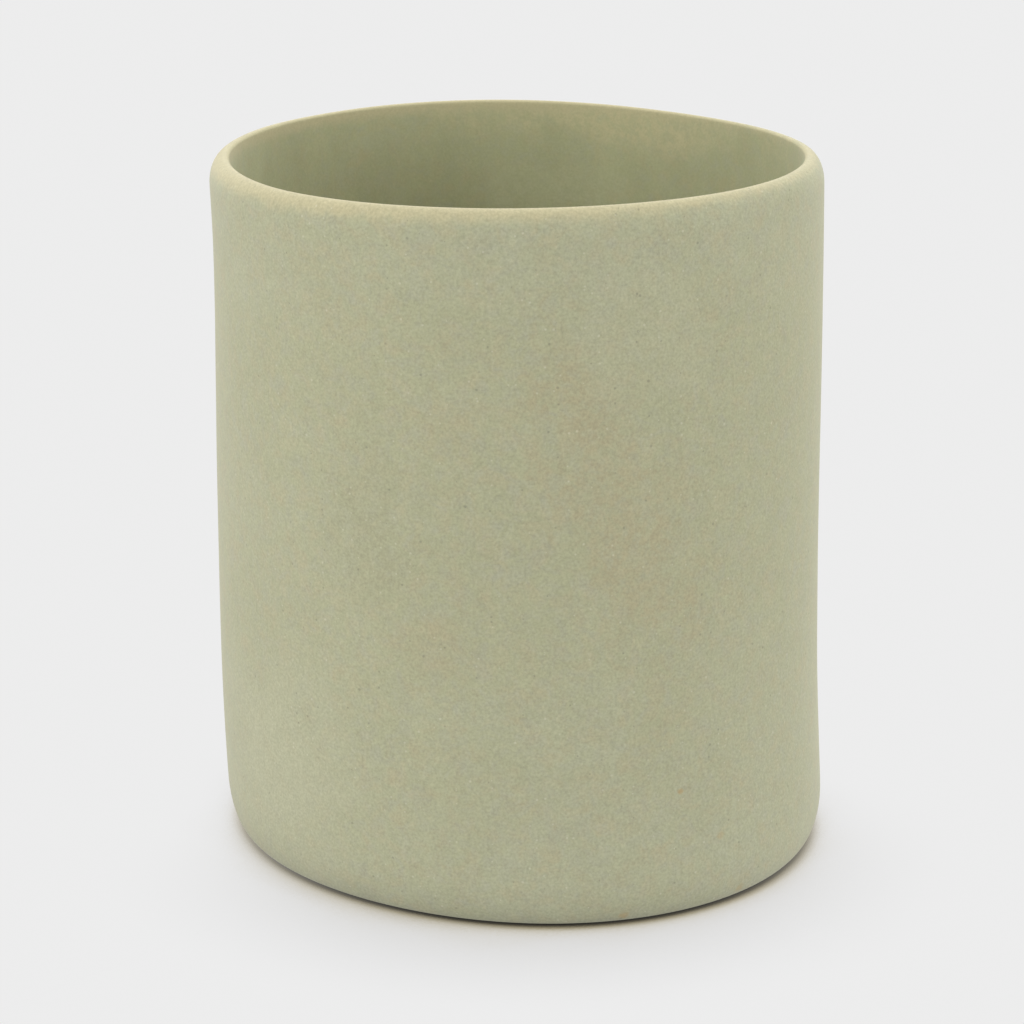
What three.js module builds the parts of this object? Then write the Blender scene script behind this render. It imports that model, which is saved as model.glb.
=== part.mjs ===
// A small hand-formed clay pot for standing brushes in.
//
// It is one piece of fired clay: a thin upright wall, a rounded lip, a foot that turns in
// softly, and a floor. The outline wanders a little from a true circle, differently at the foot
// and at the lip, and the wall leans slightly, as on a pot shaped by hand.
//
// Millimetres, +Z up, front of the pot towards -Y. The origin is under the middle of the pot,
// on the surface that it stands on.

import * as THREE from "three";

// Outer form
const HEIGHT = 100;
const FOOT_RADIUS = 43.7; // mean radius of the wall, carried down to the standing surface
const LIP_RADIUS = 42.7; // mean radius of the wall, carried up to the top of the lip

// Clay
const WALL_AT_FOOT = 3.2;
const WALL_AT_LIP = 2.4;
const FLOOR_THICKNESS = 4;
const FLOOR_CORNER_RADIUS = 6; // fillet between the floor and the inside of the wall

// Lip: the outside rolls over towards a small round on the inside edge
const LIP_ROLL_HEIGHT = 4;
const LIP_INNER_ROUND = 0.5;

// Foot: the wall turns in to a flat standing ring round a slightly hollow underside
const FOOT_TURN_IN = 2.3;
const FOOT_TURN_HEIGHT = 7;
const STANDING_RING_WIDTH = 5;
const UNDERSIDE_SLOPE_WIDTH = 4;
const UNDERSIDE_HOLLOW = 0.8;

// Outline: how far it swells from the circle, in evenly spaced lobes, one of them facing that
// many degrees round from +X
const FOOT_OUTLINE = [
  { lobes: 2, swell: 1.15, facing: -37 },
  { lobes: 3, swell: 0.3, facing: -51 },
  { lobes: 4, swell: 0.15, facing: 10 },
];
const LIP_OUTLINE = [
  { lobes: 2, swell: 0.25, facing: -24 },
  { lobes: 3, swell: 0.8, facing: -4 },
  { lobes: 4, swell: 0.25, facing: 6 },
  { lobes: 5, swell: 0.25, facing: 17 },
];
const OUTLINE_BLEND_POWER = 1.5; // above 1, the foot's outline reaches further up the wall

// Wall: where its centre line runs
const LEAN = -1.15; // the mouth's centre, along X from the centre of the wall near the foot
const FOOT_SHIFT = 0.85; // the foot's own centre, along X from the wall above it
const FOOT_SHIFT_HEIGHT = 17;
const LIP_FLARE = 0.6; // the -X side of the lip kicks outwards
const LIP_FLARE_HEIGHT = 8;
const LIP_WAVE = 0.15; // the lip rises this much at the front and back, and dips at the sides

// Fineness
const SIDES = 72;
const ARC_STEPS = 7;
const SMALL_ARC_STEPS = 3;
const WALL_STEPS = 8;

const CLAY = new THREE.MeshStandardMaterial({
  color: 0xacab8c,
  roughness: 0.95,
  metalness: 0,
});

/** The outer radius of the round pot at height z, before the turn-in at the foot and the lip. */
function outerRadius(z) {
  return THREE.MathUtils.lerp(FOOT_RADIUS, LIP_RADIUS, z / HEIGHT);
}

/** The inner radius of the round pot at height z, before the fillet and the lip's round. */
function innerRadius(z) {
  const wall = THREE.MathUtils.lerp(WALL_AT_FOOT, WALL_AT_LIP, z / HEIGHT);
  return outerRadius(z) - wall;
}

/** Points of an elliptical arc in the (radius, height) plane, angles in degrees. */
function arc(centreR, centreZ, halfWidth, halfHeight, from, to, steps) {
  const points = [];
  for (let i = 0; i <= steps; i++) {
    const angle = THREE.MathUtils.degToRad(from + ((to - from) * i) / steps);
    const r = centreR + halfWidth * Math.cos(angle);
    const z = centreZ + halfHeight * Math.sin(angle);
    points.push(new THREE.Vector2(r, z));
  }
  return points;
}

/** Points strictly between two heights, on the wall whose radius is given by radiusAt. */
function wallPoints(radiusAt, from, to, steps) {
  const points = [];
  for (let i = 1; i < steps; i++) {
    const z = from + ((to - from) * i) / steps;
    points.push(new THREE.Vector2(radiusAt(z), z));
  }
  return points;
}

/** The underside, from the axis out to the edge of the standing ring. */
function undersidePoints() {
  const ringOuter = outerRadius(0) - FOOT_TURN_IN;
  const ringInner = ringOuter - STANDING_RING_WIDTH;
  const hollowEdge = ringInner - UNDERSIDE_SLOPE_WIDTH;
  return [
    new THREE.Vector2(0, UNDERSIDE_HOLLOW),
    new THREE.Vector2(hollowEdge / 2, UNDERSIDE_HOLLOW),
    new THREE.Vector2(hollowEdge, UNDERSIDE_HOLLOW),
    new THREE.Vector2(ringInner, 0),
  ];
}

/** The outside: the turn at the foot and the wall up to where the lip begins to roll. */
function outsidePoints() {
  const turnTop = FOOT_TURN_HEIGHT;
  const rollStart = HEIGHT - LIP_ROLL_HEIGHT;
  const centreR = outerRadius(turnTop) - FOOT_TURN_IN;
  const turn = arc(centreR, turnTop, FOOT_TURN_IN, FOOT_TURN_HEIGHT, -90, 0, ARC_STEPS);
  return [...turn, ...wallPoints(outerRadius, turnTop, rollStart, WALL_STEPS)];
}

/** The lip: an elliptical roll on the outside and a small round on the inside. */
function lipPoints() {
  const rollStart = HEIGHT - LIP_ROLL_HEIGHT;
  const outer = outerRadius(rollStart);
  const inner = innerRadius(HEIGHT);
  const crest = inner + LIP_INNER_ROUND;
  const roundCentreZ = HEIGHT - LIP_INNER_ROUND;
  const roll = arc(crest, rollStart, outer - crest, LIP_ROLL_HEIGHT, 0, 90, ARC_STEPS);
  const round = arc(crest, roundCentreZ, LIP_INNER_ROUND, LIP_INNER_ROUND, 90, 180, SMALL_ARC_STEPS);
  return [...roll, ...round.slice(1)];
}

/** The inside: the wall down to the fillet, the fillet, and the floor in to the axis. */
function insidePoints() {
  const filletTop = FLOOR_THICKNESS + FLOOR_CORNER_RADIUS;
  const wallTop = HEIGHT - LIP_INNER_ROUND;
  const radius = FLOOR_CORNER_RADIUS;
  const centreR = innerRadius(filletTop) - radius;
  const fillet = arc(centreR, filletTop, radius, radius, 0, -90, ARC_STEPS);
  return [
    ...wallPoints(innerRadius, wallTop, filletTop, WALL_STEPS),
    ...fillet,
    new THREE.Vector2(centreR / 2, FLOOR_THICKNESS),
    new THREE.Vector2(0, FLOOR_THICKNESS),
  ];
}

/** How far an outline swells from the circle in the direction theta, in radians from +X. */
function swellOf(outline, theta) {
  return outline.reduce((sum, { lobes, swell, facing }) => {
    const turned = theta - THREE.MathUtils.degToRad(facing);
    return sum + swell * Math.cos(lobes * turned);
  }, 0);
}

/** Moves one point of the round pot to its place on the hand-formed one. */
function shapeByHand(point) {
  const level = THREE.MathUtils.clamp(point.z / HEIGHT, 0, 1);
  const theta = Math.atan2(point.y, point.x);
  const toLip = level ** OUTLINE_BLEND_POWER;
  const swell = THREE.MathUtils.lerp(
    swellOf(FOOT_OUTLINE, theta),
    swellOf(LIP_OUTLINE, theta),
    toLip,
  );
  const stretch = 1 + swell / LIP_RADIUS;
  const footShift = FOOT_SHIFT * Math.exp(-((point.z / FOOT_SHIFT_HEIGHT) ** 2));
  const nearLip = Math.exp(-(((HEIGHT - point.z) / LIP_FLARE_HEIGHT) ** 2));
  const flare = LIP_FLARE * nearLip * Math.max(0, -Math.cos(theta)) ** 2;
  point.x = point.x * stretch + LEAN * level + footShift - flare;
  point.y = point.y * stretch;
  point.z -= LIP_WAVE * level ** 3 * Math.cos(2 * theta);
}

/** The pot: its profile turned round the Z axis and then shaped. */
function makePot() {
  const profile = [...undersidePoints(), ...outsidePoints(), ...lipPoints(), ...insidePoints()];
  const geometry = new THREE.LatheGeometry(profile, SIDES);
  geometry.rotateX(Math.PI / 2);

  const positions = geometry.getAttribute("position");
  const point = new THREE.Vector3();
  for (let i = 0; i < positions.count; i++) {
    point.fromBufferAttribute(positions, i);
    shapeByHand(point);
    positions.setXYZ(i, point.x, point.y, point.z);
  }
  geometry.computeVertexNormals();

  const mesh = new THREE.Mesh(geometry, CLAY);
  mesh.name = "pot";
  return mesh;
}

const brushPot = new THREE.Group();
brushPot.add(makePot());

export default brushPot;
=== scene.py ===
"""A hand-formed clay pot for standing brushes in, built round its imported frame.

The pot is one piece of unglazed fired clay. Its round profile is extruded ring by ring from a
small disc under its middle, shaped to its wandering outline, smoothed, and dented a little as
hands leave it. Lengths are in metres, +Z is up and the front of the pot faces -Y.
"""

import logging
import math
from collections.abc import Callable, Sequence
from dataclasses import dataclass, field
from enum import Enum

import bpy
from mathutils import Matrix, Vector


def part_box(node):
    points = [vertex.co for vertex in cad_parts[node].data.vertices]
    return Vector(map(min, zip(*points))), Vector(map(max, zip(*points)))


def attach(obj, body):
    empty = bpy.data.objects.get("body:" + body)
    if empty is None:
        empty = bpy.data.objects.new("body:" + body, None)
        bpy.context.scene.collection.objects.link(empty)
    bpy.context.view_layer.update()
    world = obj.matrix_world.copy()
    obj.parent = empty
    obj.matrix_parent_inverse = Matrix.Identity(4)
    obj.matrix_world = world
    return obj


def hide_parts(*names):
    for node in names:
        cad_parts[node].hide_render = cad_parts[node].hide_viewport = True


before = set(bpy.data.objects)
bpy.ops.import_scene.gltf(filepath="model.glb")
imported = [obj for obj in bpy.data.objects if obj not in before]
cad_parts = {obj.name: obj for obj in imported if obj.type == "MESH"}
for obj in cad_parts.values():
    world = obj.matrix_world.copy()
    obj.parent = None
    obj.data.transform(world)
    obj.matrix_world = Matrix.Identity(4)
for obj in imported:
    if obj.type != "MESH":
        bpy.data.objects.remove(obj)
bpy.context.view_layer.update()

log = logging.getLogger("brush_pot")

LIP_WAVE = 0.00015  # the lip rises this much at the front and back, and dips at the sides
NOISE_MIDDLE = 0.5  # the value that Blender's noises vary about

# Directions in the profile, in degrees
OUTWARDS = 0
UPWARDS = 90
INWARDS = 180
DOWNWARDS = -90

Socket = bpy.types.NodeSocket
Object = bpy.types.Object
Material = bpy.types.Material
Colour = tuple[float, float, float, float]


# ---------------------------------------------------------------------------------------------
# Shape
# ---------------------------------------------------------------------------------------------


@dataclass(frozen=True)
class Ring:
    """One ring of the round profile: its radius and its height."""

    radius: float
    height: float


@dataclass(frozen=True)
class Lobes:
    """Evenly spaced swellings of an outline, outwards from a circle.

    Attributes:
        count: How many there are round the pot.
        swell: How far each stands out, in metres.
        facing: The direction that one of them faces, in degrees from +X.
    """

    count: int
    swell: float
    facing: float

    def at(self, theta: float) -> float:
        """The outward move in the direction theta, in radians from +X."""
        return self.swell * math.cos(self.count * (theta - math.radians(self.facing)))


def blend(low: float, high: float, share: float) -> float:
    """The value that lies a share of the way from low to high."""
    return low + (high - low) * share


def arc(
    centre: Ring, width: float, height: float, start: float, end: float, steps: int
) -> list[Ring]:
    """Rings along an elliptical arc of the profile.

    Args:
        centre: The ellipse's centre in the profile.
        width: The ellipse's half width, along the radius.
        height: The ellipse's half height.
        start: The angle of the first ring, in degrees, 0 being outwards and 90 upwards.
        end: The angle of the last ring.
        steps: How many steps the arc is cut into.

    Returns:
        The rings in order, both ends included.
    """
    rings = []
    for step in range(steps + 1):
        angle = math.radians(blend(start, end, step / steps))
        radius = centre.radius + width * math.cos(angle)
        rings.append(Ring(radius, centre.height + height * math.sin(angle)))
    return rings


@dataclass(frozen=True)
class PotProfile:
    """The sizes of the round pot, and the rings that its profile is made of.

    Attributes:
        height: The mean height of the lip.
        foot_radius: The wall's outer radius, carried down to the standing surface.
        lip_radius: The wall's outer radius, carried up to the top of the lip.
        wall_at_foot: The clay's thickness low on the wall.
        wall_at_lip: The clay's thickness at the lip.
        floor: The floor's thickness.
        floor_corner: The fillet's radius between the floor and the inside of the wall.
        roll_height: The height over which the outside of the lip rolls over.
        lip_round: The radius of the lip's inside edge.
        turn_in: How far the foot turns in.
        turn_height: The height over which it does.
        ring_width: The width of the flat ring that the pot stands on.
        hollow: How far the underside rises inside that ring.
        hollow_slope: The width of the slope between the two.
        middle: The radius of the discs that close the middle, above and below.
        edge_hold: How far from the standing ring's inner edge a second ring keeps it crisp.
        disc_steps: Steps across the underside's hollow, and across the floor.
        turn_steps: Steps round the foot's turn.
        wall_steps: Steps up each side of the wall.
        roll_steps: Steps over the outside of the lip.
        round_steps: Steps round the lip's inside edge.
        fillet_steps: Steps round the fillet.
    """

    height: float
    foot_radius: float
    lip_radius: float
    wall_at_foot: float = 0.0032
    wall_at_lip: float = 0.0024
    floor: float = 0.004
    floor_corner: float = 0.006
    roll_height: float = 0.004
    lip_round: float = 0.0005
    turn_in: float = 0.0023
    turn_height: float = 0.007
    ring_width: float = 0.005
    hollow: float = 0.0008
    hollow_slope: float = 0.004
    middle: float = 0.003
    edge_hold: float = 0.0004
    disc_steps: int = 4
    turn_steps: int = 9
    wall_steps: int = 13
    roll_steps: int = 10
    round_steps: int = 4
    fillet_steps: int = 7

    @classmethod
    def of_node(cls, node: str) -> "PotProfile":
        """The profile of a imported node.

        Args:
            node: The node's name in the frame.

        Returns:
            A profile whose height and radii come from the node's box.
        """
        swell_allowance = 0.00023
        taper = 0.001
        low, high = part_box(node)
        half_width = (high.x - low.x + high.y - low.y) / 4
        foot_radius = half_width - swell_allowance
        return cls(high.z - LIP_WAVE, foot_radius, foot_radius - taper)

    def outer_radius(self, height: float) -> float:
        """The wall's outer radius at a height."""
        return blend(self.foot_radius, self.lip_radius, height / self.height)

    def inner_radius(self, height: float) -> float:
        """The wall's inner radius at a height."""
        wall = blend(self.wall_at_foot, self.wall_at_lip, height / self.height)
        return self.outer_radius(height) - wall

    def wall(self, radius_at: Callable[[float], float], start: float, end: float) -> list[Ring]:
        """Rings strictly between two heights of the wall.

        Args:
            radius_at: The wall's radius at a height.
            start: The height that the rings start from.
            end: The height that they run to.

        Returns:
            The rings in order, neither end included.
        """
        shares = [step / self.wall_steps for step in range(1, self.wall_steps)]
        heights = [blend(start, end, share) for share in shares]
        return [Ring(radius_at(height), height) for height in heights]

    def underside(self) -> list[Ring]:
        """The rings of the underside, outwards from the middle disc.

        Returns:
            The rings in order.
        """
        ring_outer = self.outer_radius(0) - self.turn_in
        ring_inner = ring_outer - self.ring_width
        hollow_edge = ring_inner - self.hollow_slope
        hollow_rings = [
            Ring(blend(self.middle, hollow_edge, step / self.disc_steps), self.hollow)
            for step in range(self.disc_steps + 1)
        ]
        return hollow_rings + [Ring(ring_inner, 0), Ring(ring_inner + self.edge_hold, 0)]

    def outside(self) -> list[Ring]:
        """The rings of the foot's turn and of the wall above it, up to the lip's roll.

        Returns:
            The rings in order.
        """
        roll_start = self.height - self.roll_height
        centre = Ring(self.outer_radius(self.turn_height) - self.turn_in, self.turn_height)
        turn = arc(centre, self.turn_in, self.turn_height, DOWNWARDS, OUTWARDS, self.turn_steps)
        return turn + self.wall(self.outer_radius, self.turn_height, roll_start)

    def lip(self) -> list[Ring]:
        """The rings of the lip, over from the outside to the inside.

        Returns:
            The rings in order.
        """
        roll_start = self.height - self.roll_height
        crest = self.inner_radius(self.height) + self.lip_round
        width = self.outer_radius(roll_start) - crest
        roll_centre = Ring(crest, roll_start)
        roll = arc(roll_centre, width, self.roll_height, OUTWARDS, UPWARDS, self.roll_steps)
        centre = Ring(crest, self.height - self.lip_round)
        edge = arc(centre, self.lip_round, self.lip_round, UPWARDS, INWARDS, self.round_steps)
        return roll + edge[1:]

    def inside(self) -> list[Ring]:
        """The rings of the inside wall, the fillet and the floor, in to the middle disc.

        Returns:
            The rings in order.
        """
        fillet_top = self.floor + self.floor_corner
        radius = self.floor_corner
        centre = Ring(self.inner_radius(fillet_top) - radius, fillet_top)
        fillet = arc(centre, radius, radius, OUTWARDS, DOWNWARDS, self.fillet_steps)
        floor_rings = [
            Ring(blend(centre.radius, self.middle, step / self.disc_steps), self.floor)
            for step in range(1, self.disc_steps + 1)
        ]
        walls = self.wall(self.inner_radius, self.height - self.lip_round, fillet_top)
        return walls + fillet + floor_rings

    def rings(self) -> list[Ring]:
        """All the rings, from the underside's middle round the lip to the floor's middle."""
        return self.underside() + self.outside() + self.lip() + self.inside()


@dataclass(frozen=True)
class HandForming:
    """How the pot's outline and wall wander from a true round pot.

    Attributes:
        profile: The round pot.
        foot: The outline's lobes at the foot.
        lip: The outline's lobes at the lip.
        blend_power: Above 1, the foot's outline reaches further up the wall.
        lean: How far the mouth's centre lies along X from the wall's near the foot.
        foot_shift: How far the foot's own centre lies along X from the wall above it.
        foot_shift_height: The height over which that shift fades.
        flare: How far the -X side of the lip kicks outwards.
        flare_height: The height over which the flare fades.
        wave: How much the lip rises at the front and back, and dips at the sides.
        thick_left: How much thicker the lip is on the -X side, measured inwards.
        thick_right: How much thicker it is on the +X side.
        thick_height: The height over which the thicker clay fades down the inside.
        bulge: How far the +X side of the wall swells outwards.
        bulge_height: The height of the middle of that swelling.
        bulge_reach: The height over which it fades, up and down.
    """

    profile: PotProfile
    foot: tuple[Lobes, ...] = (
        Lobes(2, 0.00115, -37),
        Lobes(3, 0.0003, -51),
        Lobes(4, 0.00015, 10),
    )
    lip: tuple[Lobes, ...] = (
        Lobes(2, 0.00025, -24),
        Lobes(3, 0.0008, -4),
        Lobes(4, 0.00025, 6),
        Lobes(5, 0.00025, 17),
    )
    blend_power: float = 1.5
    lean: float = -0.00115
    foot_shift: float = 0.00085
    foot_shift_height: float = 0.017
    flare: float = 0.0006
    flare_height: float = 0.008
    wave: float = LIP_WAVE
    thick_left: float = 0.0006
    thick_right: float = 0.0003
    thick_height: float = 0.015
    bulge: float = 0.0002
    bulge_height: float = 0.077
    bulge_reach: float = 0.022

    def thickening(self, point: Vector, theta: float) -> float:
        """How far a point moves inwards where the lip is thicker at the sides.

        Args:
            point: A point of the round pot.
            theta: Its direction, in radians from +X.

        Returns:
            The move towards the axis, none on the outside of the wall.
        """
        height = self.profile.height
        outer = self.profile.outer_radius(point.z)
        depth = (outer - math.hypot(point.x, point.y)) / self.profile.wall_at_lip
        share = min(max(depth, 0.0), 1.0)
        near_lip = math.exp(-(((height - point.z) / self.thick_height) ** 2))
        side = self.thick_right if math.cos(theta) > 0 else self.thick_left
        return side * share * near_lip * math.cos(theta) ** 4

    def place(self, point: Vector) -> Vector:
        """Where a point of the round pot goes on the hand-formed one.

        Args:
            point: A point of the round pot.

        Returns:
            The moved point.
        """
        height = self.profile.height
        level = min(max(point.z / height, 0.0), 1.0)
        theta = math.atan2(point.y, point.x)
        foot_swell = sum(lobes.at(theta) for lobes in self.foot)
        lip_swell = sum(lobes.at(theta) for lobes in self.lip)
        swell = blend(foot_swell, lip_swell, level**self.blend_power)
        stretch = 1 + swell / self.profile.lip_radius
        inwards = self.thickening(point, theta)
        shift = self.foot_shift * math.exp(-((point.z / self.foot_shift_height) ** 2))
        near_lip = math.exp(-(((height - point.z) / self.flare_height) ** 2))
        flare = self.flare * near_lip * max(0.0, -math.cos(theta)) ** 2
        near_bulge = math.exp(-(((point.z - self.bulge_height) / self.bulge_reach) ** 2))
        bulge = self.bulge * near_bulge * max(0.0, math.cos(theta)) ** 2
        moved = self.lean * level + shift + bulge - flare
        x = point.x * stretch - inwards * math.cos(theta) + moved
        y = point.y * stretch - inwards * math.sin(theta)
        z = point.z - self.wave * level**3 * math.cos(2 * theta)
        return Vector((x, y, z))


def deselect_objects() -> None:
    """Deselects every object, the frame's nodes among them."""
    bpy.ops.object.select_all(action="DESELECT")


def use_only(piece: Object) -> None:
    """Makes a piece the only selected object and the active one.

    Args:
        piece: The piece.
    """
    deselect_objects()
    piece.select_set(True)
    bpy.context.view_layer.objects.active = piece


class Modelling:
    """The steps of modelling a turned piece in edit mode."""

    def __init__(self, sides: int) -> None:
        """Sets how many sides every ring has."""
        self.sides = sides

    def start_disc(self, ring: Ring) -> Object:
        """Adds the disc that the piece starts from, and opens it for editing.

        Args:
            ring: The disc's edge.

        Returns:
            The new object, in edit mode with the disc's edge selected.
        """
        deselect_objects()
        bpy.ops.mesh.primitive_circle_add(
            vertices=self.sides, radius=ring.radius, fill_type="TRIFAN", enter_editmode=True
        )
        bpy.ops.transform.translate(value=(0, 0, ring.height))
        bpy.ops.mesh.select_mode(type="EDGE")
        bpy.ops.mesh.select_all(action="DESELECT")
        bpy.ops.mesh.select_non_manifold()
        return bpy.context.object

    def extrude_ring(self, before: Ring, after: Ring) -> None:
        """Extrudes the selected ring into the next one.

        Args:
            before: The ring that is selected.
            after: The ring that it becomes.
        """
        rise = (0, 0, after.height - before.height)
        scale = after.radius / before.radius
        bpy.ops.mesh.extrude_region_move(TRANSFORM_OT_translate={"value": rise})
        bpy.ops.transform.resize(value=(scale, scale, 1), center_override=(0, 0, after.height))

    def close_ring(self) -> None:
        """Closes the selected ring with a fan of faces, and turns every face outwards."""
        bpy.ops.mesh.edge_face_add()
        bpy.ops.mesh.select_mode(type="FACE")
        bpy.ops.mesh.poke()
        bpy.ops.mesh.select_all(action="SELECT")
        bpy.ops.mesh.normals_make_consistent(inside=False)
        bpy.ops.mesh.select_all(action="DESELECT")
        bpy.ops.object.mode_set(mode="OBJECT")

    def turn(self, rings: Sequence[Ring]) -> Object:
        """Models a closed turned piece from its profile.

        Args:
            rings: The profile's rings in order, the first and last close to the axis.

        Returns:
            The piece, in object mode.
        """
        piece = self.start_disc(rings[0])
        for before, after in zip(rings, rings[1:]):
            self.extrude_ring(before, after)
        self.close_ring()
        return piece


@dataclass
class BrushPot:
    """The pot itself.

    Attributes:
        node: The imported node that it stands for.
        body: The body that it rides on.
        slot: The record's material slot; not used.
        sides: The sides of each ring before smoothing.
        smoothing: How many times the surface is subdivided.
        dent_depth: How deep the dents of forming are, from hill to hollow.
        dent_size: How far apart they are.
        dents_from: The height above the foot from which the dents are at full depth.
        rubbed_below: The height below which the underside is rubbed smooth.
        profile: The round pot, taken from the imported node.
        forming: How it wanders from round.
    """

    node: str = "pot"
    body: str = "root"
    slot: str = "clay"
    sides: int = 72
    smoothing: int = 2
    dent_depth: float = 0.00012
    dent_size: float = 0.022
    dents_from: float = 0.008
    rubbed_below: float = 0.0003
    profile: PotProfile = field(init=False)
    forming: HandForming = field(init=False)

    def __post_init__(self) -> None:
        """Takes the pot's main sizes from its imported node."""
        self.profile = PotProfile.of_node(self.node)
        self.forming = HandForming(self.profile)

    def shape_by_hand(self, piece: Object) -> None:
        """Moves the round pot's vertices to the hand-formed outline."""
        for vertex in piece.data.vertices:
            vertex.co = self.forming.place(vertex.co)

    def smooth(self, piece: Object) -> None:
        """Subdivides the pot's surface and shades it smooth.

        Args:
            piece: The shaped pot.
        """
        use_only(piece)
        modifier = piece.modifiers.new("smoothing", "SUBSURF")
        modifier.levels = self.smoothing
        modifier.render_levels = self.smoothing
        bpy.ops.object.modifier_apply(modifier=modifier.name)
        bpy.ops.object.shade_smooth()

    def dent(self, piece: Object) -> None:
        """Gives the wall the shallow dents that hands leave, and keeps the foot flat.

        Args:
            piece: The smooth pot.
        """
        reach = piece.vertex_groups.new(name="dented")
        for vertex in piece.data.vertices:
            share = min(max(vertex.co.z / self.dents_from, 0.0), 1.0)
            reach.add([vertex.index], share * share * (3 - 2 * share), "REPLACE")
        texture = bpy.data.textures.new("dents", "CLOUDS")
        texture.noise_scale = self.dent_size
        texture.noise_depth = 1
        use_only(piece)
        modifier = piece.modifiers.new("dents", "DISPLACE")
        modifier.texture = texture
        modifier.texture_coords = "LOCAL"
        modifier.strength = self.dent_depth
        modifier.mid_level = NOISE_MIDDLE
        modifier.vertex_group = reach.name
        bpy.ops.object.modifier_apply(modifier=modifier.name)
        piece.vertex_groups.clear()

    def dress(self, piece: Object) -> None:
        """Gives the pot its clay, and the rubbed finish where it faces the table.

        Args:
            piece: The modelled pot.
        """
        piece.data.materials.append(ClayFinish().make())
        piece.data.materials.append(RubbedFinish().make())
        for face in piece.data.polygons:
            face.material_index = int(face.normal.z < 0 and face.center.z < self.rubbed_below)

    def build(self) -> Object:
        """Models the pot, gives it its finishes and ties it to the frame.

        Returns:
            The finished piece.
        """
        piece = Modelling(self.sides).turn(self.profile.rings())
        piece.name = "brush_pot"
        piece.data.name = "brush_pot"
        self.shape_by_hand(piece)
        self.smooth(piece)
        self.dent(piece)
        self.dress(piece)
        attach(piece, self.body)
        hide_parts(self.node)
        return piece


# ---------------------------------------------------------------------------------------------
# Finishes
# ---------------------------------------------------------------------------------------------


class Blending(Enum):
    """How one colour is laid on another."""

    OVER = "MIX"
    TIMES = "MULTIPLY"


class Graph:
    """Places nodes in a shader tree and joins them.

    Attributes:
        spacing: How far apart the nodes lie in the tree.
        share_input: The place of a colour mix's share among its inputs.
        low_input: The place of its first colour.
        high_input: The place of its second colour.
        mixed_output: The place of its result among its outputs.
    """

    spacing = 180
    share_input = 0
    low_input = 6
    high_input = 7
    mixed_output = 2

    def __init__(self, tree: bpy.types.NodeTree) -> None:
        """Takes the tree to work in, a material's or a node group's."""
        self.tree = tree

    def node(
        self, kind: str, inputs: dict[str | int, object] | None = None, **settings: object
    ) -> bpy.types.Node:
        """Adds a node.

        Args:
            kind: The node's type, as bpy names it.
            inputs: A value or a socket for each named or numbered input.
            settings: Values for the node's own properties.

        Returns:
            The new node.
        """
        made = self.tree.nodes.new(kind)
        made.location = (self.spacing * len(self.tree.nodes), 0)
        for name, value in settings.items():
            setattr(made, name, value)
        for key, value in (inputs or {}).items():
            self.feed(made.inputs[key], value)
        return made

    def feed(self, target: Socket, value: object) -> None:
        """Joins a socket to an input, or sets the input's own value.

        Args:
            target: The input.
            value: The socket or the value.
        """
        if isinstance(value, Socket):
            self.tree.links.new(value, target)
        else:
            target.default_value = value

    def math(self, operation: str, *values: object, clamp: bool = False) -> Socket:
        """The result of an operation on one, two or three numbers."""
        settings = {"operation": operation, "use_clamp": clamp}
        return self.node("ShaderNodeMath", dict(enumerate(values)), **settings).outputs["Value"]

    def vector_math(self, operation: str, *values: object) -> bpy.types.Node:
        """A node that works on one or two vectors."""
        return self.node("ShaderNodeVectorMath", dict(enumerate(values)), operation=operation)

    def vector(self, operation: str, *values: object) -> Socket:
        """The vector that an operation on one or two vectors gives."""
        return self.vector_math(operation, *values).outputs["Vector"]

    def measure(self, operation: str, *values: object) -> Socket:
        """The number that an operation on one or two vectors gives."""
        return self.vector_math(operation, *values).outputs["Value"]

    def xyz(self, x: object, y: object, z: object) -> Socket:
        """A vector of three numbers."""
        return self.node("ShaderNodeCombineXYZ", {"X": x, "Y": y, "Z": z}).outputs["Vector"]

    def height(self, place: Socket) -> Socket:
        """The height of a position on the piece."""
        return self.node("ShaderNodeSeparateXYZ", {"Vector": place}).outputs["Z"]

    def mix(
        self, share: object, low: object, high: object, how: Blending = Blending.OVER
    ) -> Socket:
        """A blend of two colours.

        Args:
            share: How much of the second colour there is.
            low: The first colour.
            high: The second colour.
            how: How the second is laid on the first.

        Returns:
            The blended colour.
        """
        inputs = {self.share_input: share, self.low_input: low, self.high_input: high}
        made = self.node("ShaderNodeMix", inputs, data_type="RGBA", blend_type=how.value)
        return made.outputs[self.mixed_output]

    def grey(self, value: Socket) -> Socket:
        """A grey of a given brightness."""
        parts = {"Red": value, "Green": value, "Blue": value}
        return self.node("ShaderNodeCombineColor", parts).outputs["Color"]

    def noise(
        self,
        place: Socket,
        scale: object,
        detail: float,
        roughness: object,
        wander: object = 0.0,
    ) -> Socket:
        """A noise between 0 and 1.

        Args:
            place: The position on the piece.
            scale: How many of its lumps lie along a metre.
            detail: How many finer noises are laid over the first.
            roughness: How strong those are.
            wander: How far its lumps are pulled out of shape.

        Returns:
            The noise.
        """
        inputs = {"Vector": place, "Scale": scale, "Detail": detail, "Roughness": roughness}
        inputs["Distortion"] = wander
        return self.node("ShaderNodeTexNoise", inputs).outputs["Fac"]

    def remap(
        self, value: object, low: float, high: float, to_low: float = 0.0, to_high: float = 1.0
    ) -> Socket:
        """A value eased smoothly from one range to another, and held at its ends.

        Args:
            value: The value.
            low: Where its range starts.
            high: Where its range ends, above or below the start.
            to_low: The result at the start.
            to_high: The result at the end.

        Returns:
            The result.
        """
        inputs = {"Value": value, "From Min": low, "From Max": high}
        inputs.update({"To Min": to_low, "To Max": to_high})
        made = self.node("ShaderNodeMapRange", inputs, interpolation_type="SMOOTHSTEP")
        return made.outputs["Result"]


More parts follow.
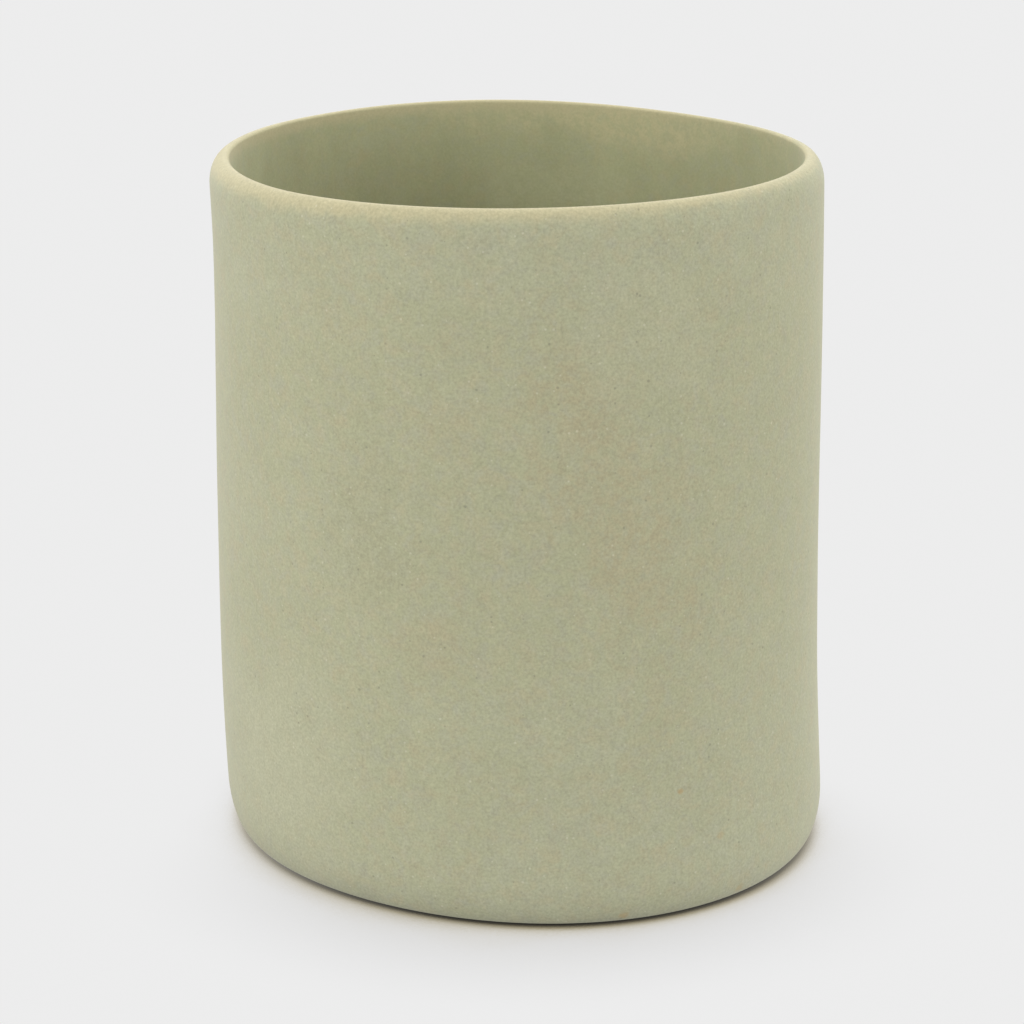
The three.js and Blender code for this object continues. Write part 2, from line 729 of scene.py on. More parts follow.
def colour(red: float, green: float, blue: float) -> Colour:
    """An opaque linear colour."""
    return (red, green, blue, 1.0)


def vector_socket(group: bpy.types.NodeTree, name: str) -> None:
    """Adds a vector input to a node group."""
    group.interface.new_socket(name, in_out="INPUT", socket_type="NodeSocketVector")


def number_socket(group: bpy.types.NodeTree, name: str, value: float) -> None:
    """Adds a number input to a node group."""
    socket = group.interface.new_socket(name, in_out="INPUT", socket_type="NodeSocketFloat")
    socket.default_value = value


class Effect:
    """A surface effect that the clay's finishes share, as a node group.

    A subclass names its inputs and its outputs, and fills the group in fill().

    Attributes:
        name: The group's name.
        numbers: The group's number inputs, with their usual values.
        outputs: The group's outputs.
    """

    name: str
    numbers: dict[str, float] = {}
    outputs: tuple[str, ...] = ("Amount",)

    def group(self) -> bpy.types.NodeTree:
        """The effect's node group, built on first use.

        Returns:
            The group.
        """
        made = bpy.data.node_groups.get(self.name)
        if made:
            return made
        made = bpy.data.node_groups.new(self.name, "ShaderNodeTree")
        vector_socket(made, "Place")
        for name, value in self.numbers.items():
            number_socket(made, name, value)
        for name in self.outputs:
            made.interface.new_socket(name, in_out="OUTPUT", socket_type="NodeSocketFloat")
        graph = Graph(made)
        inputs = graph.node("NodeGroupInput")
        given = {socket.name: socket for socket in inputs.outputs if socket.name}
        graph.node("NodeGroupOutput", self.fill(graph, given))
        return made

    def fill(self, graph: Graph, given: dict[str, Socket]) -> dict[str, Socket]:
        """Builds the effect inside its group, and gives a socket for each output's name."""
        raise NotImplementedError

    def use(self, graph: Graph, place: Socket, **numbers: float) -> dict[str, Socket]:
        """Places the effect in a material.

        Args:
            graph: The material's tree.
            place: The position on the piece.
            numbers: A value for each input that differs from its default, with _ for a space.

        Returns:
            The effect's outputs by name.
        """
        made = graph.node("ShaderNodeGroup", node_tree=self.group())
        graph.feed(made.inputs["Place"], place)
        for name, value in numbers.items():
            graph.feed(made.inputs[name.replace("_", " ").title()], value)
        return {socket.name: socket for socket in made.outputs}


class Grain(Effect):
    """The fine grit of the clay: a tone about zero, and a height.

    Attributes:
        coarse_scale: The coarser noise's scale, as a share of the fine one's.
        coarse_share: How much of the coarser noise is added to the fine one.
    """

    name = "clay grain"
    numbers = {"Size": 0.0004, "Roughness": 0.6}
    outputs = ("Tone", "Height")
    coarse_scale = 0.37
    coarse_share = 0.2

    def fill(self, graph: Graph, given: dict[str, Socket]) -> dict[str, Socket]:
        """Mixes two sizes of noise, and centres them on zero.

        Args:
            graph: The group's tree.
            given: The group's inputs by name.

        Returns:
            The tone and the height.
        """
        scale = graph.math("DIVIDE", 1.0, given["Size"])
        fine = graph.noise(given["Place"], scale, detail=2.0, roughness=given["Roughness"])
        coarser = graph.math("MULTIPLY", scale, self.coarse_scale)
        coarse = graph.noise(given["Place"], coarser, detail=1.0, roughness=0.5)
        both = graph.math("MULTIPLY_ADD", coarse, self.coarse_share, fine)
        middle = NOISE_MIDDLE * (1 + self.coarse_share)
        return {"Tone": graph.math("SUBTRACT", both, middle), "Height": both}


class Clouds(Effect):
    """Soft smoky mottling: a tone about zero."""

    name = "clay clouds"
    numbers = {"Size": 0.006, "Wander": 0.5}
    outputs = ("Tone",)

    def fill(self, graph: Graph, given: dict[str, Socket]) -> dict[str, Socket]:
        """Noise on a place that wanders, so that its clouds have ragged edges.

        Args:
            graph: The group's tree.
            given: The group's inputs by name.

        Returns:
            The tone.
        """
        scale = graph.math("DIVIDE", 1.0, given["Size"])
        wander = given["Wander"]
        noise = graph.noise(given["Place"], scale, detail=4.0, roughness=0.62, wander=wander)
        return {"Tone": graph.math("SUBTRACT", noise, NOISE_MIDDLE)}


class Specks(Effect):
    """Sparse round specks, as of a mineral in the clay.

    Attributes:
        least: The smallest speck's radius, as a share of the radius given.
        crispness: How crisp a speck's edge is.
    """

    name = "clay specks"
    numbers = {"Spacing": 0.0015, "Radius": 0.00015, "Share": 0.15, "Seed": 0.0}
    least = 0.5
    crispness = 2.5

    def fill(self, graph: Graph, given: dict[str, Socket]) -> dict[str, Socket]:
        """Picks a share of the cells, and marks the middle of each of them.

        Args:
            graph: The group's tree.
            given: The group's inputs by name.

        Returns:
            How much of a speck there is.
        """
        moved = graph.vector("ADD", given["Place"], graph.xyz(given["Seed"], given["Seed"], 0.0))
        density = graph.math("DIVIDE", 1.0, given["Spacing"])
        cells = graph.node("ShaderNodeTexVoronoi", {"Vector": moved, "Scale": density}).outputs
        distance = graph.math("MULTIPLY", cells["Distance"], given["Spacing"])
        chance = graph.node("ShaderNodeSeparateColor", {"Color": cells["Color"]}).outputs
        chosen = graph.math("LESS_THAN", chance["Red"], given["Share"])
        size = graph.math("MULTIPLY", given["Radius"], chance["Green"])
        reach = graph.math("ADD", size, graph.math("MULTIPLY", given["Radius"], self.least))
        away = graph.math("DIVIDE", distance, reach)
        closeness = graph.math("SUBTRACT", 1.0, away, clamp=True)
        edge = graph.math("MULTIPLY", closeness, self.crispness, clamp=True)
        return {"Amount": graph.math("MULTIPLY", edge, chosen)}


class Patch(Effect):
    """One ragged patch of a different tone, with small islands of it inside.

    Attributes:
        lump: The size of the lumps along its edge, as a share of its half width.
        lump_reach: How far they move the edge.
        fade: How far in from its edge it is at full strength, as a share of its size.
        island_scale: How many islands lie along a metre.
        island_from: The noise at which an island begins.
        island_full: The noise at which it is at full strength.
        between: How much of the patch shows between the islands.
    """

    name = "clay patch"
    numbers = {
        "X": 0.0,
        "Y": 0.0,
        "Z": 0.0,
        "Half Width": 0.01,
        "Half Height": 0.01,
        "Ragged": 0.8,
        "Tilt": 0.0,
    }
    lump = 0.55
    lump_reach = 3.0
    fade = 0.75
    island_scale = 850.0
    island_from = 0.4
    island_full = 0.62
    between = 0.3

    def fill(self, graph: Graph, given: dict[str, Socket]) -> dict[str, Socket]:
        """Fades from the patch's middle, broken up by noise.

        Args:
            graph: The group's tree.
            given: The group's inputs by name.

        Returns:
            How much of the patch there is.
        """
        place, ragged = given["Place"], given["Ragged"]
        away = graph.vector("SUBTRACT", place, graph.xyz(given["X"], given["Y"], given["Z"]))
        inputs = {"Vector": away, "Angle": given["Tilt"]}
        turned = graph.node("ShaderNodeVectorRotate", inputs, rotation_type="Y_AXIS")
        size = graph.xyz(given["Half Width"], given["Half Width"], given["Half Height"])
        level = graph.vector("DIVIDE", turned.outputs["Vector"], size)
        distance = graph.measure("LENGTH", level)
        lump_size = graph.math("MULTIPLY", given["Half Width"], self.lump)
        lump_scale = graph.math("DIVIDE", 1.0, lump_size)
        lumps = graph.noise(place, lump_scale, detail=4.0, roughness=0.6)
        broken = graph.math("MULTIPLY", graph.math("SUBTRACT", lumps, NOISE_MIDDLE), ragged)
        edge = graph.math("SUBTRACT", distance, graph.math("MULTIPLY", broken, self.lump_reach))
        raised = graph.math("SUBTRACT", 1.0, edge)
        grit = graph.noise(place, self.island_scale, detail=2.0, roughness=0.6)
        islands = graph.remap(grit, self.island_from, self.island_full, self.between, 1.0)
        gaps = graph.math("MULTIPLY", graph.math("SUBTRACT", 1.0, islands), ragged)
        kept = graph.math("SUBTRACT", 1.0, gaps)
        return {"Amount": graph.math("MULTIPLY", graph.remap(raised, 0.0, self.fade), kept)}


class Inside(Effect):
    """The inside of the pot: where the surface faces the pot's own axis.

    Attributes:
        starts: The cosine between the surface's direction and outwards where it starts.
        full: The cosine from which the surface counts as wholly inside.
    """

    name = "clay inside"
    starts = -0.1
    full = -0.7

    def fill(self, graph: Graph, given: dict[str, Socket]) -> dict[str, Socket]:
        """Compares the surface's direction with the direction away from the axis.

        Args:
            graph: The group's tree.
            given: The group's inputs by name.

        Returns:
            How far the surface is the pot's inside.
        """
        away = graph.vector("NORMALIZE", graph.vector("MULTIPLY", given["Place"], (1, 1, 0)))
        facing = graph.node("ShaderNodeTexCoord").outputs["Normal"]
        agreement = graph.measure("DOT_PRODUCT", away, facing)
        return {"Amount": graph.remap(agreement, self.starts, self.full)}


class Tint(Enum):
    """The linear colours that the fired clay varies towards; RIM and CREAM are painted highlights
    on the lip.
    """

    BLUSH = colour(0.376, 0.340, 0.209)
    WARM = colour(0.392, 0.360, 0.226)
    ASH = colour(0.359, 0.359, 0.261)
    RIM = colour(0.450, 0.414, 0.262)
    COOL = colour(0.385, 0.393, 0.265)
    PALE = colour(0.408, 0.405, 0.268)
    DUSK = colour(0.335, 0.332, 0.208)
    CREAM = colour(0.475, 0.425, 0.255)
    DARK_SPECK = colour(0.12, 0.125, 0.09)
    PALE_SPECK = colour(0.62, 0.60, 0.45)
    RUST = colour(0.42, 0.27, 0.09)


@dataclass(frozen=True)
class TintAndLightPatch:
    """A patch of another tint: mostly where the clay fired to another tint, and in places painted
    light.

    Attributes:
        x, y, z: Its middle.
        half_width: Half its width.
        half_height: Half its height.
        strength: How strongly it shows.
        tilt: How far it leans, in degrees.
        ragged: How broken its edge is.
        tint: Its colour.
    """

    x: float
    y: float
    z: float
    half_width: float
    half_height: float
    strength: float
    tilt: float = 0.0
    ragged: float = 0.8
    tint: Tint = Tint.BLUSH


@dataclass(frozen=True)
class Mottling:
    """The clay's smoky clouds, its streaks, and its cooler zones.

    Attributes:
        small: The size of the small clouds.
        small_tone: How much they change the tone.
        large: The size of the large clouds.
        large_wander: How ragged those are.
        large_tone: How much they change the tone.
        streak: The size of the streaks.
        streak_wander: How ragged those are.
        streak_draw: How far they are drawn out up the wall, less being longer.
        streak_tone: How much they change the tone outside.
        streak_inside: How much more they do inside.
        cool_swing: How much the large clouds cool the clay.
        low_below: The height below which the clay cools towards the foot.
        low_cool: How cool it is at the foot.
        high_from: The height from which it cools towards the lip, outside.
        high_full: The height at which it is coolest.
        high_cool: How cool it is there.
    """

    small: float = 0.0035
    small_tone: float = 0.85
    large: float = 0.022
    large_wander: float = 0.8
    large_tone: float = 0.4
    streak: float = 0.007
    streak_wander: float = 0.3
    streak_draw: float = 0.35
    streak_tone: float = 0.3
    streak_inside: float = 1.4
    cool_swing: float = 1.6
    low_below: float = 0.045
    low_cool: float = 0.5
    high_from: float = 0.078
    high_full: float = 0.094
    high_cool: float = 0.35


@dataclass(frozen=True)
class Fleck:
    """Small clouds of another tint.

    Attributes:
        size: Their size.
        wander: How ragged they are.
        swing: How strongly they come and go.
        share: How much of the tint shows on the whole.
        tint: Their colour.
    """

    size: float
    wander: float
    swing: float
    share: float
    tint: Tint


@dataclass(frozen=True)
class Mineral:
    """Sparse specks of a mineral in the clay.

    Attributes:
        spacing: How far apart their places are.
        radius: Their usual radius.
        share: The share of the places that hold one.
        seed: A shift that gives each mineral its own places.
        strength: How strongly they show outside.
        lost_inside: How much less they show inside.
        tint: Their colour.
    """

    spacing: float
    radius: float
    share: float
    seed: float
    strength: float
    lost_inside: float
    tint: Tint


@dataclass(frozen=True)
class LipHighlight:
    """The pale cream band painted along the top of the lip: a painted highlight where the lip faces
    up.

    Attributes:
        top: The height of the lip.
        depth: How far below it the painted highlight begins.
        full: How far below it the painted highlight is at full strength.
        strength: How strongly it shows.
        tilt: How much lower it reaches on the -X side, per metre.
        lump: The size of the lumps along its edge.
        lump_reach: How far they move the edge.
    """

    top: float = 0.1
    depth: float = 0.0022
    full: float = 0.0002
    strength: float = 0.8
    tilt: float = 0.014
    lump: float = 0.003
    lump_reach: float = 0.002


@dataclass(frozen=True)
class ClayFinish:
    """Unglazed fired clay, smoothed by hand.

    Attributes:
        name: The material's name.
        body: The clay's own colour.
        inside_tint: What the colour is multiplied by inside the pot.
        roughness: How matte it is.
        sheen: How much pale bloom shows at grazing angles.
        sheen_roughness: How widely that bloom spreads.
        sheen_tint: The bloom's colour.
        grain_size: The size of the grit.
        grain_tone: How much the grit changes the tone.
        grain_inside: How much of that is left inside the pot.
        cloud_tone: How much the mottling changes the tone.
        bump: How much the grit stands out.
        bump_depth: How deep the grit is.
        mottling: The mottling's sizes and strengths.
        flecks: The warmer and the greyer flecks.
        minerals: The dark and the pale specks.
        lip_highlight: The painted highlight along the top of the lip.
        patches: The warmer, the paler and the darker patches, among them a painted highlight along
            the back of the lip and painted light low on the back of the inside.
        rust: The rust spots.
    """

    name: str = "fired_clay"
    body: Colour = colour(0.368, 0.370, 0.231)
    inside_tint: Colour = colour(1.02, 1.035, 0.95)
    roughness: float = 0.92
    sheen: float = 0.3
    sheen_roughness: float = 0.5
    sheen_tint: Colour = colour(1.0, 0.97, 0.84)
    grain_size: float = 0.00036
    grain_tone: float = 0.58
    grain_inside: float = 0.5
    cloud_tone: float = 0.14
    bump: float = 0.25
    bump_depth: float = 0.0001
    mottling: Mottling = Mottling()
    flecks: tuple[Fleck, ...] = (
        Fleck(0.0026, 0.5, 3.2, 0.15, Tint.WARM),
        Fleck(0.0022, 0.9, 2.5, 0.12, Tint.ASH),
    )
    minerals: tuple[Mineral, ...] = (
        Mineral(0.0015, 0.00017, 0.4, 0.0, 0.36, 0.3, Tint.DARK_SPECK),
        Mineral(0.001, 0.00015, 0.3, 0.31, 0.33, 0.28, Tint.PALE_SPECK),
    )
    lip_highlight: LipHighlight = LipHighlight()
    patches: tuple[TintAndLightPatch, ...] = (
        TintAndLightPatch(0.0075, -0.042, 0.072, 0.010, 0.013, 0.8, 20, 1.0),
        TintAndLightPatch(0.017, -0.040, 0.053, 0.010, 0.015, 0.8, 15, 1.0),
        TintAndLightPatch(-0.010, -0.042, 0.071, 0.005, 0.005, 0.5),
        TintAndLightPatch(-0.012, -0.042, 0.041, 0.007, 0.007, 0.5),
        # Painted highlight: the bright band along the back of the lip, where the light from behind
        # catches it.
        TintAndLightPatch(0.013, 0.036, 0.0985, 0.036, 0.0055, 1.0, 0, 0.8, Tint.RIM),
        # Painted light: a paler patch low on the back of the inside, right of the middle, where
        # more light would fall.
        TintAndLightPatch(0.006, 0.040, 0.087, 0.018, 0.005, 0.6, 0, 0.8, Tint.PALE),
        TintAndLightPatch(-0.036, -0.024, 0.018, 0.020, 0.022, 0.9, 0, 0.5, Tint.PALE),
        TintAndLightPatch(0.0164, -0.038, 0.083, 0.012, 0.012, 0.5, 0, 0.6, Tint.PALE),
        TintAndLightPatch(-0.021, -0.038, 0.055, 0.009, 0.014, 0.8, 0, 0.8, Tint.DUSK),
    )
    rust: tuple[TintAndLightPatch, ...] = (
        TintAndLightPatch(0.0218, -0.0387, 0.0186, 0.0007, 0.0006, 0.65, 0, 0.3, Tint.RUST),
        TintAndLightPatch(0.0277, -0.0355, 0.0107, 0.0009, 0.0008, 0.3, 0, 0.3, Tint.RUST),
        TintAndLightPatch(0.0308, -0.0323, 0.0012, 0.0012, 0.0012, 0.55, 0, 0.5, Tint.RUST),
        TintAndLightPatch(0.0141, -0.0412, 0.0012, 0.0012, 0.0010, 0.6, 0, 0.5, Tint.RUST),
    )

    def make(self) -> Material:
        """Builds the material.

        Returns:
            The new material.
        """
        material = bpy.data.materials.new(self.name)
        material.use_nodes = True
        graph = Graph(material.node_tree)
        shader = material.node_tree.nodes["Principled BSDF"]
        place = graph.node("ShaderNodeTexCoord").outputs["Object"]
        grain = Grain().use(graph, place, size=self.grain_size)
        inside = Inside().use(graph, place)["Amount"]
        clay = self.mottled(graph, place, inside)
        clay = self.patched(graph, place, clay, self.patches)
        clay = graph.mix(inside, clay, self.inside_tint, Blending.TIMES)
        # Painted highlight: a pale cream band along the top of the lip.
        clay = self.highlighted_lip(graph, place, clay)
        lost_inside = (1 - self.grain_inside) * self.grain_tone
        strength = graph.math("MULTIPLY_ADD", inside, -lost_inside, self.grain_tone)
        tone = graph.math("MULTIPLY_ADD", grain["Tone"], strength, 1.0)
        clay = graph.mix(1.0, clay, graph.grey(tone), Blending.TIMES)
        clay = self.specked(graph, place, clay, inside)
        clay = self.patched(graph, place, clay, self.rust)
        graph.feed(shader.inputs["Base Color"], clay)
        graph.feed(shader.inputs["Roughness"], self.roughness)
        graph.feed(shader.inputs["Sheen Weight"], self.sheen)
        graph.feed(shader.inputs["Sheen Roughness"], self.sheen_roughness)
        graph.feed(shader.inputs["Sheen Tint"], self.sheen_tint)
        relief = {"Strength": self.bump, "Distance": self.bump_depth, "Height": grain["Height"]}
        bump = graph.node("ShaderNodeBump", relief)
        graph.feed(shader.inputs["Normal"], bump.outputs["Normal"])
        return material

    def mottled(self, graph: Graph, place: Socket, inside: Socket) -> Socket:
        """The clay's own colour with its smoky mottling.

        Args:
            graph: The material's tree.
            place: The position on the piece.
            inside: How far the surface is the pot's inside.

        Returns:
            The colour.
        """
        look = self.mottling
        small = Clouds().use(graph, place, size=look.small)["Tone"]
        large = Clouds().use(graph, place, size=look.large, wander=look.large_wander)["Tone"]
        height = graph.height(place)
        low = graph.remap(height, look.low_below, 0.0, 0.0, look.low_cool)
        outside = graph.math("SUBTRACT", 1.0, inside)
        near_lip = graph.remap(height, look.high_from, look.high_full, 0.0, look.high_cool)
        zones = graph.math("ADD", low, graph.math("MULTIPLY", near_lip, outside))
        cool = graph.math("MULTIPLY_ADD", large, look.cool_swing, zones, clamp=True)
        clay = graph.mix(cool, self.body, Tint.COOL.value)
        clay = self.flecked(graph, place, clay)
        drawn = graph.vector("MULTIPLY", place, (1, 1, look.streak_draw))
        streak = Clouds().use(graph, drawn, size=look.streak, wander=look.streak_wander)["Tone"]
        strength = graph.math("MULTIPLY_ADD", inside, look.streak_inside, look.streak_tone)
        streaks = graph.math("MULTIPLY", streak, strength)
        fine = graph.math("MULTIPLY_ADD", small, look.small_tone, streaks)
        both = graph.math("MULTIPLY_ADD", large, look.large_tone, fine)
        tone = graph.math("MULTIPLY_ADD", both, self.cloud_tone, 1.0)
        return graph.mix(1.0, clay, graph.grey(tone), Blending.TIMES)

    def flecked(self, graph: Graph, place: Socket, clay: Socket) -> Socket:
        """Varies the clay from grain to grain, warmer in places and greyer in others.

        Args:
            graph: The material's tree.
            place: The position on the piece.
            clay: The colour so far.

        Returns:
            The colour with the flecks.
        """
        for fleck in self.flecks:
            tone = Clouds().use(graph, place, size=fleck.size, wander=fleck.wander)["Tone"]
            share = graph.math("MULTIPLY_ADD", tone, fleck.swing, fleck.share, clamp=True)
            clay = graph.mix(share, clay, fleck.tint.value)
        return clay

    def patched(
        self, graph: Graph, place: Socket, clay: Socket, tint_patches: Sequence[TintAndLightPatch]
    ) -> Socket:
        """Adds patches of other tints, some of them painted light.

        Args:
            graph: The material's tree.
            place: The position on the piece.
            clay: The colour so far.
            tint_patches: The patches.

        Returns:
            The colour with the patches.
        """
        for tint_patch in tint_patches:
            patch = Patch().use(
                graph,
                place,
                x=tint_patch.x,
                y=tint_patch.y,
                z=tint_patch.z,
                half_width=tint_patch.half_width,
                half_height=tint_patch.half_height,
                tilt=math.radians(tint_patch.tilt),
                ragged=tint_patch.ragged,
            )
            share = graph.math("MULTIPLY", patch["Amount"], tint_patch.strength)
            clay = graph.mix(share, clay, tint_patch.tint.value)
        return clay

    def highlighted_lip(self, graph: Graph, place: Socket, clay: Socket) -> Socket:
        """Pales the lip with a painted cream highlight along its top.

        Args:
            graph: The material's tree.
            place: The position on the piece.
            clay: The colour so far.

        Returns:
            The colour with the painted highlight on the lip.
        """
        lip_highlight = self.lip_highlight
        parts = graph.node("ShaderNodeSeparateXYZ", {"Vector": place}).outputs
        lumps = Clouds().use(graph, place, size=lip_highlight.lump)["Tone"]
        moved = graph.math("MULTIPLY", lumps, lip_highlight.lump_reach)
        tilted_height = graph.math("MULTIPLY_ADD", parts["X"], -lip_highlight.tilt, parts["Z"])
        level = graph.math("ADD", tilted_height, moved)
        # The cream laid on here is a painted highlight where the lip faces up.
        rubbed = graph.remap(level, lip_highlight.top - lip_highlight.depth, lip_highlight.top - lip_highlight.full, 0.0, lip_highlight.strength)
        return graph.mix(rubbed, clay, Tint.CREAM.value)

    def specked(self, graph: Graph, place: Socket, clay: Socket, inside: Socket) -> Socket:
        """Adds the specks of the clay's minerals.

        Args:
            graph: The material's tree.
            place: The position on the piece.
            clay: The colour so far.
            inside: How far the surface is the pot's inside, where fewer specks show.

        Returns:
            The colour with the specks.
        """
        for mineral in self.minerals:
            specks = Specks().use(
                graph,
                place,
                spacing=mineral.spacing,
                radius=mineral.radius,
                share=mineral.share,
                seed=mineral.seed,
            )
            strength = graph.math("MULTIPLY_ADD", inside, -mineral.lost_inside, mineral.strength)
            share = graph.math("MULTIPLY", specks["Amount"], strength)
            clay = graph.mix(share, clay, mineral.tint.value)
        return clay


@dataclass(frozen=True)
class RubbedFinish(ClayFinish):
    """The same clay under the foot, rubbed smooth and a little paler where it stands."""

    name: str = "rubbed_clay"
    body: Colour = colour(0.40, 0.385, 0.245)
    roughness: float = 0.8
    sheen: float = 0.1
    grain_tone: float = 0.4
    bump: float = 0.15
    patches: tuple[TintAndLightPatch, ...] = (TintAndLightPatch(0.01, -0.01, 0.001, 0.016, 0.016, 0.8, 0, 1.2),)
    rust: tuple[TintAndLightPatch, ...] = ()


# ---------------------------------------------------------------------------------------------
# Studio
# ---------------------------------------------------------------------------------------------


@dataclass(frozen=True)
class ShadeStop:
    """One step of the contact shade.

    Attributes:
        open_share: How open the place is to the studio.
        brightness: How bright it then is.
        warmth: How much blue it loses.
    """

    open_share: float
    brightness: float
    warmth: float = 0.0


@dataclass(frozen=True)
class Tabletop:
    """The plain pale surface that the pot stands on.

    Attributes:
        tone: Its brightness, and that of the studio's far walls.
        half_width: Half its width.
        drop: How far it lies below the frame's zero, so that no two faces coincide.
        foot_radius: The radius of the pot's foot.
        shade_reach: How far from the pot its contact shade reaches.
        shade_samples: How many rays find out how open a place is.
        shade_azimuth: The direction of the deepest shade in degrees, 90 being to the right.
        front_from: Where the front shade starts, as the cosine of the angle to that direction.
        front_full: Where it would be at its full strength.
        front_fade: How quickly it gives way to the side shade, per metre away from the foot.
        warm_red: How much red the shade gains for the blue that its warmth takes.
        cast_reach: How far from the foot the light thrown back on the pot is weaker.
        cast_near: How strong that light is beside the foot, as a share of the tone.
        cast_far: How strong it is beyond that reach.
        front_shade: The contact shade in front, away from the tallest light.
        side_shade: The contact shade beside and behind the pot.
    """

    tone: float = 0.844
    half_width: float = 3.0
    drop: float = 0.00003
    foot_radius: float = 0.042
    shade_reach: float = 0.045
    shade_samples: int = 16
    shade_azimuth: float = 8.0
    front_from: float = -0.25
    front_full: float = 1.1
    front_fade: float = 12.0
    warm_red: float = 0.4
    cast_reach: float = 0.009
    cast_near: float = 0.5
    cast_far: float = 0.9
    front_shade: tuple[ShadeStop, ...] = (
        ShadeStop(0.0, 0.01),
        ShadeStop(0.35, 0.05, 0.25),
        ShadeStop(0.42, 0.19, 0.4),
        ShadeStop(0.50, 0.45, 0.3),
        ShadeStop(0.545, 0.64, 0.17),
        ShadeStop(0.58, 0.765, 0.07),
        ShadeStop(0.62, 0.822, 0.02),
        ShadeStop(0.77, 0.93),
        ShadeStop(0.84, 0.985),
        ShadeStop(0.88, 1.0),
    )
    side_shade: tuple[ShadeStop, ...] = (
        ShadeStop(0.0, 0.35),
        ShadeStop(0.35, 0.52, 0.2),
        ShadeStop(0.445, 0.73, 0.1),
        ShadeStop(0.50, 0.84, 0.05),
        ShadeStop(0.55, 0.925, 0.01),
        ShadeStop(0.58, 0.965),
        ShadeStop(0.62, 0.985),
        ShadeStop(0.66, 1.0),
    )

    def shade(self, graph: Graph, open_share: Socket, steps: Sequence[ShadeStop]) -> Socket:
        """The surface's brightness for how open it is.

        Args:
            graph: The material's tree.
            open_share: How open the place is to the studio.
            steps: The shade's steps.

        Returns:
            The brightness, as a colour.
        """
        ramp = graph.node("ShaderNodeValToRGB", {"Fac": open_share})
        stops = ramp.color_ramp.elements
        stops.remove(stops[1])
        stops[0].position = steps[0].open_share
        for index, step in enumerate(steps):
            stop = stops[0] if index == 0 else stops.new(step.open_share)
            level = self.tone * step.brightness
            red = level * (1 + self.warm_red * step.warmth)
            stop.color = colour(red, level, level * (1 - step.warmth))
        return ramp.outputs["Color"]

    def finish(self) -> Material:
        """Builds the surface's material.

        Returns:
            The new material.
        """
        material = bpy.data.materials.new("tabletop")
        material.use_nodes = True
        tree = material.node_tree
        graph = Graph(tree)
        tree.nodes.remove(tree.nodes["Principled BSDF"])
        reach = {"Distance": self.shade_reach}
        closed = graph.node("ShaderNodeAmbientOcclusion", reach, samples=self.shade_samples)
        place = graph.node("ShaderNodeTexCoord").outputs["Object"]
        front = self.shade(graph, closed.outputs["AO"], self.front_shade)
        side = self.shade(graph, closed.outputs["AO"], self.side_shade)
        radius = graph.measure("LENGTH", place)
        turn = math.radians(self.shade_azimuth)
        forwards = (math.sin(turn), -math.cos(turn), 0)
        facing = graph.math("DIVIDE", graph.measure("DOT_PRODUCT", place, forwards), radius)
        beyond = graph.math("SUBTRACT", radius, self.foot_radius)
        faded = graph.math("MULTIPLY_ADD", beyond, -self.front_fade, facing)
        ahead = graph.remap(faded, self.front_from, self.front_full)
        seen = graph.node("ShaderNodeEmission", {"Color": graph.mix(ahead, side, front)})
        cast_end = self.foot_radius + self.cast_reach
        near, far = self.cast_near * self.tone, self.cast_far * self.tone
        level = graph.remap(radius, self.foot_radius, cast_end, near, far)
        cast = graph.node("ShaderNodeEmission", {"Color": graph.grey(level)})
        direct = graph.node("ShaderNodeLightPath").outputs["Is Camera Ray"]
        choice = {0: direct, 1: cast.outputs["Emission"], 2: seen.outputs["Emission"]}
        both = graph.node("ShaderNodeMixShader", choice).outputs["Shader"]
        graph.feed(tree.nodes["Material Output"].inputs["Surface"], both)
        return material

    def build(self) -> Object:
        """Adds the surface, with its soft contact shade.

        Returns:
            The surface.
        """
        deselect_objects()
        bpy.ops.mesh.primitive_plane_add(size=2 * self.half_width, location=(0, 0, -self.drop))
        surface = bpy.context.object
        surface.name = "tabletop"
        surface.data.materials.append(self.finish())
        return surface


@dataclass(frozen=True)
class Softbox:
    """A square soft light that faces the pot.

    Attributes:
        name: Its name.
        azimuth: Its direction round the pot in degrees, 0 being in front and 90 to the right.
        elevation: Its height above the horizon in degrees.
        distance: How far it is from the pot.
        size: The length of its side.
        power: Its power in watts.
        tint: Its colour.
    """

    name: str
    azimuth: float
    elevation: float
    distance: float
    size: float
    power: float
    tint: tuple[float, float, float] = (1.0, 1.0, 1.0)

    def build(self, aim: Vector) -> Object:
        """Adds the light.

        Args:
            aim: The point that it faces.

        Returns:
            The light's object.
        """
        turn = math.radians(self.azimuth)
        rise = math.radians(self.elevation)
        level = math.cos(rise)
        away = Vector((math.sin(turn) * level, -math.cos(turn) * level, math.sin(rise)))
        lamp = bpy.data.lights.new(self.name, "AREA")
        lamp.shape = "SQUARE"
        lamp.size = self.size
        lamp.energy = self.power
        lamp.color = self.tint
        light = bpy.data.objects.new(self.name, lamp)
        light.location = aim + away * self.distance
        light.rotation_euler = away.to_track_quat("Z", "Y").to_euler()
        light.visible_camera = False
        bpy.context.scene.collection.objects.link(light)
        return light


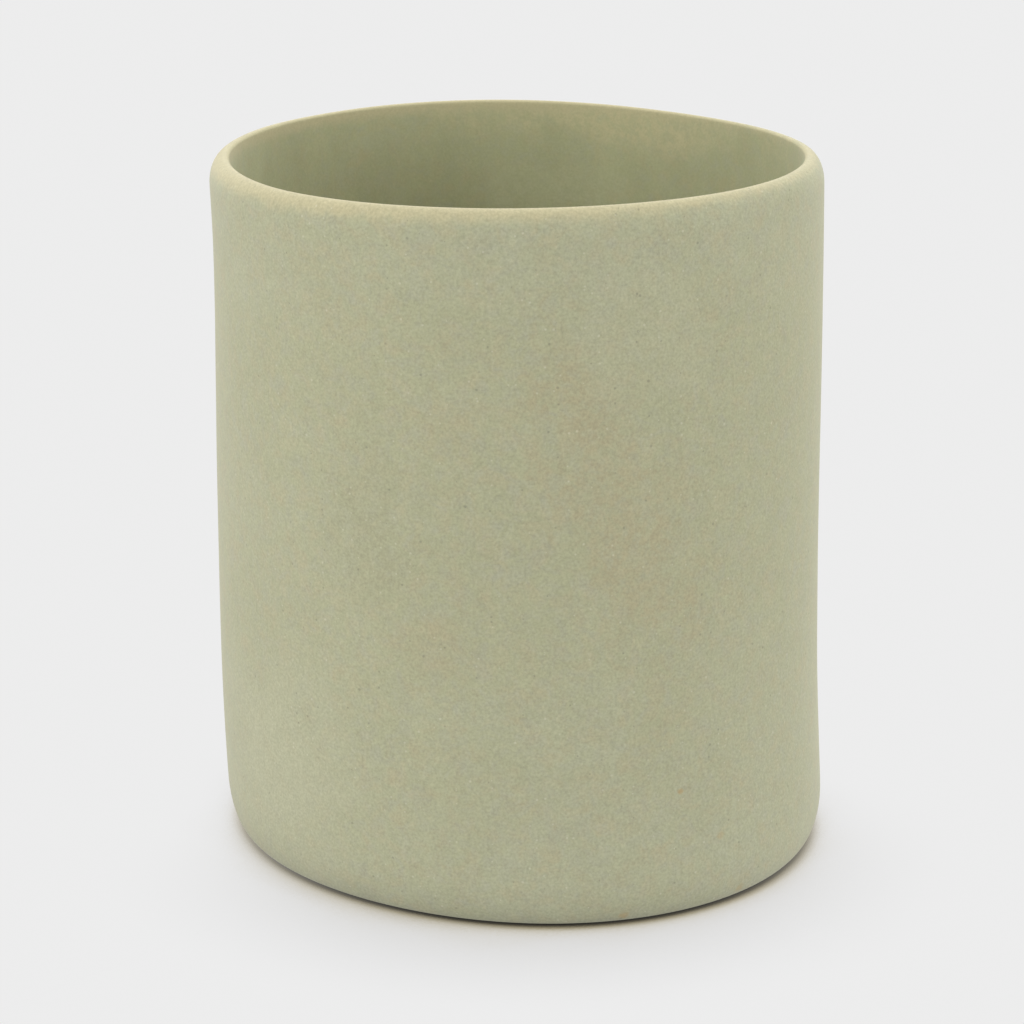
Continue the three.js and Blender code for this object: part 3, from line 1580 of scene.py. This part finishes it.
@dataclass(frozen=True)
class StudioCamera:
    """The camera, seen from in front of the pot and a little above it.

    Attributes:
        lens: Its focal length in millimetres.
        elevation: Its angle above the horizon in degrees.
        distance: How far it is from the point that it faces.
        aim: The point that it faces.
        nearest: The distance from which it sees things.
        farthest: The distance up to which it sees them.
    """

    lens: float = 112.42
    elevation: float = 17.15
    distance: float = 0.4665
    aim: tuple[float, float, float] = (-0.001256, 0.0, 0.0467)
    nearest: float = 0.01
    farthest: float = 20.0

    def build(self) -> Object:
        """Adds the camera and makes it the scene's.

        Returns:
            The camera's object.
        """
        rise = math.radians(self.elevation)
        away = Vector((0, -math.cos(rise), math.sin(rise)))
        data = bpy.data.cameras.new("camera")
        data.lens = self.lens
        data.clip_start = self.nearest
        data.clip_end = self.farthest
        camera = bpy.data.objects.new("camera", data)
        camera.location = Vector(self.aim) + away * self.distance
        camera.rotation_euler = away.to_track_quat("Z", "Y").to_euler()
        bpy.context.scene.collection.objects.link(camera)
        bpy.context.scene.camera = camera
        return camera


@dataclass(frozen=True)
class Studio:
    """A pale light tent round the pot.

    Attributes:
        tabletop: The surface that the pot stands on.
        camera: The camera.
        softboxes: The lights.
    """

    tabletop: Tabletop = Tabletop()
    camera: StudioCamera = StudioCamera()
    softboxes: tuple[Softbox, ...] = (
        Softbox("back_top", 180, 60, 1.2, 0.8, 6.9),
        Softbox("front_left", -45, 20, 1.2, 0.8, 5.0),
        Softbox("left_top", -90, 45, 1.2, 0.8, 1.35),
        Softbox("right", 90, 15, 1.2, 0.8, 5.1, (1.0, 1.0, 0.97)),
    )

    def build(self) -> None:
        """Adds the surface, the walls' glow, the lights and the camera."""
        self.tabletop.build()
        world = bpy.data.worlds.new("tent")
        world.use_nodes = True
        tone = self.tabletop.tone
        glow = world.node_tree.nodes["Background"]
        glow.inputs["Color"].default_value = colour(tone, tone, tone)
        bpy.context.scene.world = world
        for softbox in self.softboxes:
            softbox.build(Vector(self.camera.aim))
        self.camera.build()
        bpy.context.scene.view_settings.view_transform = "Standard"


# ---------------------------------------------------------------------------------------------


def main() -> None:
    """Builds the studio and the pot, in order."""
    logging.basicConfig(level=logging.INFO, format="%(message)s")
    Studio().build()
    pot = BrushPot().build()
    log.info("%s: %d faces, one piece of fired clay", pot.name, len(pot.data.polygons))


if __name__ == "__main__":
    main()
